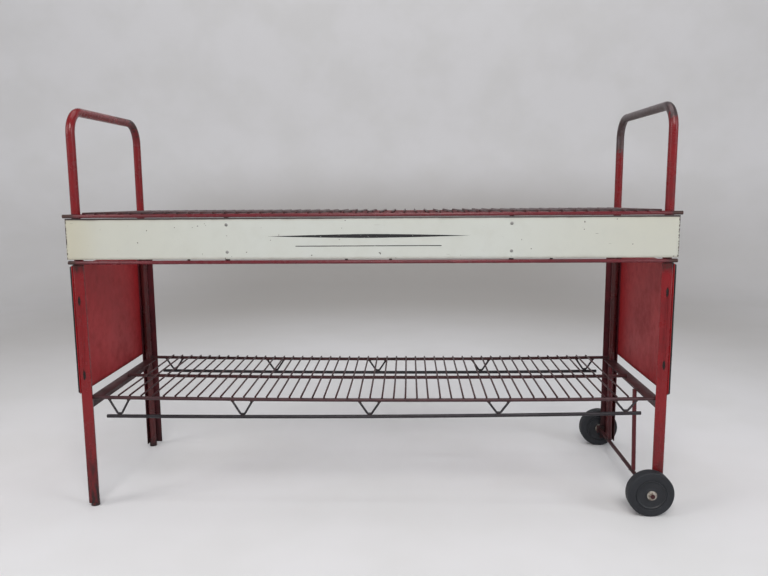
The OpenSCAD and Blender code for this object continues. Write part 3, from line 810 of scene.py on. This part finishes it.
def truss_vees(side):
    """Each V is one wire, bent twice round its flat foot and welded to both rods."""
    y = SIDES[side] * TUBE_Y
    wires, welds = bmesh.new(), bmesh.new()
    truss_half = size(f"{side}_truss_rod").x / 2
    for k, shift in enumerate(VEE_SHIFT[side]):
        x = (k - (len(VEE_SHIFT[side]) - 1) / 2) * VEE_PITCH + shift * MM
        truss_z = shelf_z(x) - TRUSS_DROP + TRUSS_SKEW[side] * x / truss_half
        foot_z = truss_z + ROD_R + VEE_WIRE_R + 0.15 * MM

        def place(across, z):
            """Follows the slope of the sagging rods at this V."""
            return Vector((RACK_X + x + across, y, z + across * 2 * BOW_SAG * x / BOW_HALF ** 2))

        top = shelf_z(x) - ROD_R - 0.7 * VEE_WIRE_R
        left, right = place(-VEE_TOP_W / 2, top), place(VEE_TOP_W / 2, top)
        low_left, low_right = place(-VEE_FOOT_W / 2, foot_z), place(VEE_FOOT_W / 2, foot_z)
        bend = 2.4 * MM
        path = [left] + arc_points(left, low_left, low_right, bend)
        path += arc_points(low_left, low_right, right, bend) + [right]
        sweep(wires, path, VEE_WIRE_R, 14, 0.2)
        foot = place(0, foot_z - VEE_WIRE_R)
        blob(welds, foot, (5 * MM, 2.2 * MM, 1.1 * MM), k + 1.5)
        for end in (left, right):
            blob(welds, end + Vector((0, 0, 0.8 * MM)), (4.2 * MM, 3.1 * MM, 1.7 * MM), k + end.x)
    piece = new_piece(f"{side}_truss_wire_vees", wires, dark_steel)
    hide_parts(f"{side}_truss_vees")
    new_piece(f"{side}_truss_welds", welds, weld_steel)


for side in SIDES:
    truss_vees(side)


# ---------------------------------------------------------------- weld beads on the frame

def bead(bm, points, radius, seed):
    """A run of overlapping puddles, as a stick weld leaves."""
    points = [Vector(p) for p in points]
    for k, point in enumerate(points):
        wobble = noise.noise(point * 900 + Vector((seed, 0, 0)))
        r = radius * (1 + 0.22 * wobble)
        blob(bm, point, (r, r, r * 0.9), seed + k * 0.37, subdivisions=1)


def ring_points(centre, axis, radius, count=14):
    """Points round an axis ("x", "y" or "z")."""
    u, v = {"x": ((0, 1, 0), (0, 0, 1)), "y": ((1, 0, 0), (0, 0, 1)), "z": ((1, 0, 0), (0, 1, 0))}[axis]
    u, v = Vector(u), Vector(v)
    turns = (math.radians(360 * k / count) for k in range(count))
    return [Vector(centre) + (u * math.cos(a) + v * math.sin(a)) * radius for a in turns]


def line_points(a, b, step):
    a, b = Vector(a), Vector(b)
    count = max(2, round((b - a).length / step) + 1)
    return [a + (b - a) * k / (count - 1) for k in range(count)]


ROD_BEAD_R = 1.7 * MM
END_BEAD_R = 1.6 * MM
CROSS_BEAD_R = 1.8 * MM
RAIL_BEAD_R = 1.5 * MM


def frame_welds():
    bm = bmesh.new()
    seed = 0.0
    half_run = 4.5 * MM
    for end, outward in (("left", -1), ("right", 1)):
        x = HOOP_X[end]
        low, high = corners(f"{end}_cross_member")
        outer, inner = (high.x, low.x) if outward > 0 else (low.x, high.x)
        for side, facing in SIDES.items():
            # Long outer rods against the posts: a short run above and below each rod
            rods = (f"{side}_top_rod", {"front": "sign_bottom_rod", "rear": "rear_bottom_rod"}[side])
            for rod in rods:
                at = middle(rod)
                y = facing * (TUBE_Y + TUBE_R - 0.3 * MM)
                for lift in (-1, 1):
                    z = at.z + lift * ROD_R * 0.72
                    run = line_points((x - half_run, y, z), (x + half_run, y, z), 1.6 * MM)
                    seed += 1.3
                    bead(bm, run, ROD_BEAD_R, seed)
            # Shelf rods butt on the posts
            tip = (x - outward * (TUBE_R - 0.2 * MM), facing * TUBE_Y, BOW_END_Z)
            seed += 1.3
            bead(bm, ring_points(tip, "x", ROD_R), END_BEAD_R, seed)
            # Top rails and cross-members butt on the posts
            y = facing * (TUBE_Y - TUBE_R + 0.3 * MM)
            seed += 1.3
            bead(bm, ring_points((x, y, top_z(y)), "y", ROD_R), END_BEAD_R, seed)
            upright_x = outer - outward * 2 * MM
            upright = line_points((upright_x, y, low.z + 2 * MM), (upright_x, y, high.z - 2 * MM), 1.8 * MM)
            seed += 1.3
            bead(bm, upright, CROSS_BEAD_R, seed)
        # The middle shelf rod on each cross-member: a short run on both sides of the rod's end
        seed += 1.3
        for lift in (-1, 1):
            beside = lift * ROD_R * 0.8
            run = line_points((inner, beside, high.z), (outer - outward * 8 * MM, beside, high.z), 1.8 * MM)
            bead(bm, run[:4], END_BEAD_R, seed + lift)
        # The middle rod of the top shelf butts on the top rail
        seed += 1.3
        bead(bm, ring_points((x - outward * ROD_R, 0, top_z(0)), "x", ROD_R), RAIL_BEAD_R, seed)
    for side, facing in SIDES.items():
        # Braces: a collar of weld at the cross-member and on the axle
        low, high = corners(f"{side}_brace")
        y = (low.y + high.y) / 2
        r = (high.y - low.y) / 2
        seed += 1.3
        bead(bm, ring_points((high.x - r, y, high.z - 0.5 * MM), "z", r), ROD_BEAD_R, seed)
        bead(bm, ring_points((low.x + r, y, low.z + 0.5 * MM), "z", r * 0.9), CROSS_BEAD_R, seed + 5)
        # Axle through its plate
        plate = middle(f"{side}_axle_plate")
        inside = plate.y - facing * size(f"{side}_axle_plate").y / 2
        collar_r = size("axle").x / 2 + 0.6 * MM
        bead(bm, ring_points((AXLE.x, inside, AXLE.z), "y", collar_r), RAIL_BEAD_R, seed + 9)
    new_piece("frame_weld_beads", bm, weld_steel)


frame_welds()


# ---------------------------------------------------------------- thin sheets

def sheet(name, box, thin, columns, rows, bulge, material):
    """A closed thin sheet over a node's box. thin is the axis through it ("x" or "y"), and
    bulge(u, v) moves both faces together; its rim is rounded."""
    low, high = box
    bm = bmesh.new()
    t = (high.x - low.x) if thin == "x" else (high.y - low.y)
    ease = 0.45 * t

    def at(u, v, depth):
        if thin == "x":
            return Vector((low.x + t / 2 + depth + bulge(u, v), u, v))
        return Vector((u, low.y + t / 2 + depth + bulge(u, v), v))

    span = (low.y, high.y) if thin == "x" else (low.x, high.x)
    us = [span[0] + ease + (span[1] - span[0] - 2 * ease) * k / columns for k in range(columns + 1)]
    vs = [low.z + ease + (high.z - low.z - 2 * ease) * k / rows for k in range(rows + 1)]
    faces = [[[bm.verts.new(at(u, v, depth)) for v in vs] for u in us] for depth in (-t / 2, t / 2)]
    for grid in faces:
        for i in range(columns):
            for j in range(rows):
                bm.faces.new((grid[i][j], grid[i + 1][j], grid[i + 1][j + 1], grid[i][j + 1]))
    rim = [(i, 0) for i in range(columns)] + [(columns, j) for j in range(rows)]
    rim += [(i, rows) for i in range(columns, 0, -1)] + [(0, j) for j in range(rows, 0, -1)]

    def outside(i, j):
        u = us[i] + (-ease if i == 0 else ease if i == columns else 0)
        v = vs[j] + (-ease if j == 0 else ease if j == rows else 0)
        return bm.verts.new(at(u, v, 0))

    edge = [outside(i, j) for i, j in rim]
    count = len(rim)
    for k in range(count):
        (i, j), (m, n) = rim[k], rim[(k + 1) % count]
        for grid in faces:
            bm.faces.new((grid[i][j], grid[m][n], edge[(k + 1) % count], edge[k]))
    piece = new_piece(name + "_sheet", bm, material)
    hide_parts(name)


def sign_bulge(u, v):
    """The sheet lies against its straps at the rivets and stands off them a little elsewhere."""
    low, high = corners("sign_rivets")
    wave = 0.5 + 0.5 * noise.noise(Vector((u * 5.5, v * 9.0, 4.2)))
    ripple = 0.35 * noise.noise(Vector((u * 26, v * 14.0, 1.7)))
    near = 1.0
    for rivet_x in (low.x + RIVET_R, high.x - RIVET_R):
        for rivet_z in (low.z + RIVET_R, high.z - RIVET_R):
            away = math.hypot(u - rivet_x, v - rivet_z)
            near = min(near, max(0.0, (away - 5 * MM) / (16 * MM)))
    smooth = near * near * (3 - 2 * near)
    return -(wave + ripple + 0.2) * smooth * 0.9 * MM


def panel_bulge(end):
    """Held flat by the legs at its two edges and a little hollow between them."""
    box = corners(f"{end}_side_panel")
    outward = -1 if end == "left" else 1

    def bulge(u, v):
        half_free = 0.155  # half the width that the legs don't hold
        inside = max(0.0, 1 - (u / half_free) ** 2)
        soft = 0.6 + 0.55 * noise.noise(Vector((u * 7, v * 6, 2.0 + outward)))
        return -outward * inside * soft * 1.6 * MM
    return box, bulge


sheet("sign_panel", corners("sign_panel"), "y", 200, 16, sign_bulge, cream)
for end in ("left", "right"):
    panel_box, bulge = panel_bulge(end)
    sheet(f"{end}_side_panel", panel_box, "x", 60, 36, bulge, panel_red)


def panel_hems(end):
    """The upright edges of a side panel are rolled outwards; they are near-black, partly black paint and
    partly painted shade along the panel's outer edge.
    """
    low, high = corners(f"{end}_side_panel")
    roll = 2.7 * MM
    stand_off = 1.6 * MM
    margin = 1.5 * MM
    outer = low.x - stand_off if end == "left" else high.x + stand_off
    bm = bmesh.new()
    for facing in SIDES.values():
        y = facing * (high.y - roll)
        points = []
        for k in range(13):
            t = k / 12
            stray = 0.5 * MM * noise.noise(Vector((t * 4, facing * 3.0, outer * 9)))
            z = low.z + margin + (high.z - low.z - 2 * margin) * t
            points.append((outer + stray * 0.4, y - facing * abs(stray), z))
        sweep(bm, points, roll, 16, 0.6)
    # Near-black hems: black paint with painted shade along the panel's outer edge.
    new_piece(f"{end}_panel_hems", bm, edge_black)


for end in ("left", "right"):
    panel_hems(end)


# ---------------------------------------------------------------- wheels

def mirrored(half):
    """A closed profile from its outer half: (radius, distance from the wheel's middle) in mm."""
    return half + [(r, -out) for r, out in reversed(half)]


def wheel(side):
    facing = SIDES[side]
    low, high = corners(f"{side}_wheel_centre")
    mid = abs(low.y + high.y) / 2
    rubber_half = [(33.0, 0.0), (33.0, 12.2), (33.6, 12.8), (34.6, 13.0)]
    rubber_half += [(41.0, 13.0), (44.6, 12.9), (46.6, 12.3)]
    rubber_half += [(46.0 + 4.0 * math.sin(a), 9.0 + 4.0 * math.cos(a)) for a in (0.35, 0.7, 1.05, 1.35)]
    rubber_half += [(50.0, 8.2), (50.0, 0.5)]
    centre_half = [(7.1, 0.0), (7.1, 13.3), (7.8, 13.9), (8.6, 14.0)]
    centre_half += [(11.6, 14.0), (12.4, 13.7), (12.8, 13.0)]
    centre_half += [(13.1, 12.0), (13.9, 11.3), (15.0, 11.0), (21.0, 11.0), (27.2, 11.2), (28.4, 11.6)]
    centre_half += [(29.0, 12.2), (29.6, 12.9), (30.4, 13.3), (31.4, 13.3)]
    centre_half += [(32.2, 13.0), (32.6, 12.4), (32.6, 0.5)]
    for name, half, material, slot in (
        ("tyre", rubber_half, tyre, "tyre_rubber"),
        ("wheel_centre", centre_half, plastic, "wheel_plastic"),
    ):
        bm = bmesh.new()
        profile = [(r * MM, mid + out * MM) for r, out in mirrored(half)]
        lathe(bm, profile, AXLE, facing)
        piece = new_piece(f"{side}_{name}_moulded", bm, material, body=f"{side}_wheel")
        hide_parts(f"{side}_{name}")


def push_nut_caps():
    """Sprung caps pressed on the axle: a thin flange with a ringed, slightly domed crown."""
    high = corners("push_nuts")[1]
    flange_r = size("push_nuts").x / 2
    crown = 4.5 * MM
    bm = bmesh.new()
    bore = size("axle").x / 2 + 0.1 * MM
    section = [(bore, 0.0), (flange_r - 0.3 * MM, 0.0), (flange_r, 0.4 * MM)]
    section += [(flange_r - 0.2 * MM, 0.9 * MM), (flange_r - 1.2 * MM, 1.1 * MM)]
    section += [(7.0 * MM, 1.1 * MM), (6.7 * MM, 1.5 * MM), (6.5 * MM, 3.2 * MM)]
    section += [(6.1 * MM, 4.0 * MM), (5.7 * MM, 4.4 * MM)]
    section += [(bore + 0.3 * MM, crown), (bore, crown - 0.3 * MM)]
    for facing in SIDES.values():
        inner = high.y - crown
        lathe(bm, [(r, inner + out) for r, out in section], AXLE, facing, 64)
    piece = new_piece("push_nut_caps", bm, plated)
    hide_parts("push_nuts")


for side in SIDES:
    wheel(side)
push_nut_caps()
